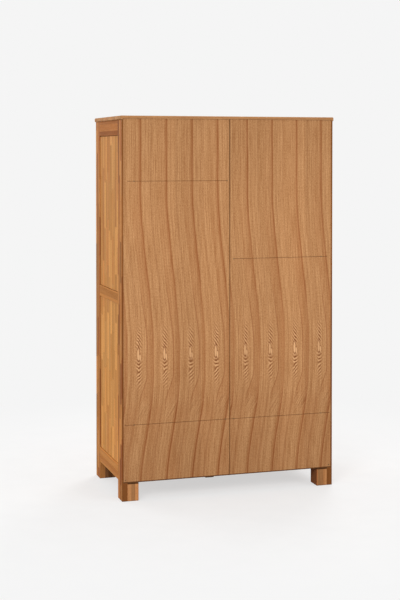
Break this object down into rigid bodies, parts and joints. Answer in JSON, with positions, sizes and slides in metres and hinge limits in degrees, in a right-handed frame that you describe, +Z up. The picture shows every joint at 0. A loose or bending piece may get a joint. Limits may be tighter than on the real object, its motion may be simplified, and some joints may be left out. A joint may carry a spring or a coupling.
{
  "type": "armoire",
  "caption": "Free-standing oak armoire with paired doors over side-by-side drawers, frame-and-panel sides, square legs and a two-part veneered back.",
  "frame": {"origin": "on the floor under the middle of the whole armoire, knobs and top board included", "axes": "+Z up, the doors and drawers face -Y, +X is to the right of someone facing the doors"},
  "size_m": [1.127, 0.597, 1.9],
  "materials": {
    "oak": "satin lacquer over laminated oak staves",
    "oak_panel": "satin lacquer over finger-jointed oak",
    "back_veneer": "thin lacquer over slip-matched veneer",
    "inner_wood": "bare planed softwood and ply",
    "brass": "aged satin",
    "steel": "satin",
    "brown_plastic": "moulded"
  },
  "bodies": {
    "carcass": {"adjustable_shelves": "oak", "back_screws": "steel", "base_rail": "oak", "bottom_board": "oak", "centre_divider": "oak", "centre_foot": "oak", "door_catches": "brown_plastic", "drawer_divider": "oak", "drawer_rail": "oak", "drawer_runners": "inner_wood", "fixed_shelf": "oak", "hanging_rail": "steel", "hat_shelf": "oak", "header_rail": "oak", "hinge_frame_leaves": "brass", "hinge_pins": "brass", "left_back_panel": "back_veneer", "left_face_stile": "oak", "left_front_stile": "oak", "left_rear_stile": "oak", "left_side_bottom_rail": "oak", "left_side_middle_rail": "oak", "left_side_panels": "oak_panel", "left_side_top_rail": "oak", "leg_blocks": "oak", "rail_flanges": "steel", "right_back_panel": "back_veneer", "right_face_stile": "oak", "right_front_stile": "oak", "right_rear_stile": "oak", "right_side_bottom_rail": "oak", "right_side_middle_rail": "oak", "right_side_panels": "oak_panel", "right_side_top_rail": "oak", "shelf_battens": "inner_wood", "shelf_pins": "steel", "top_board": "oak", "wardrobe_floor": "oak"},
    "left_door": {"left_door_hinge_leaves": "brass", "left_door_hinge_stile": "oak", "left_door_knob": "oak", "left_door_meeting_stile": "oak", "left_door_panels": "oak_panel", "left_door_rails": "oak", "left_strike_plate": "steel"},
    "right_door": {"right_door_hinge_leaves": "brass", "right_door_hinge_stile": "oak", "right_door_knob": "oak", "right_door_meeting_stile": "oak", "right_door_panels": "oak_panel", "right_door_rails": "oak", "right_strike_plate": "steel"},
    "left_drawer": {"left_drawer_bottom": "inner_wood", "left_drawer_box": "inner_wood", "left_drawer_front": "oak", "left_drawer_knob": "oak"},
    "right_drawer": {"right_drawer_bottom": "inner_wood", "right_drawer_box": "inner_wood", "right_drawer_front": "oak", "right_drawer_knob": "oak"}
  },
  "joints": [
    {"name": "left_door_hinge", "type": "hinge", "parent": "carcass", "child": "left_door", "pos_m": [-0.4735, -0.2743, 1.107], "axis": [0, 0, -1], "range_deg": [0, 170]},
    {"name": "right_door_hinge", "type": "hinge", "parent": "carcass", "child": "right_door", "pos_m": [0.4735, -0.2743, 1.107], "axis": [0, 0, 1], "range_deg": [0, 170]},
    {"name": "left_drawer_slide", "type": "slide", "parent": "carcass", "child": "left_drawer", "axis": [0, -1, 0], "range_m": [0, 0.36]},
    {"name": "right_drawer_slide", "type": "slide", "parent": "carcass", "child": "right_drawer", "axis": [0, -1, 0], "range_m": [0, 0.36]}
  ]
}
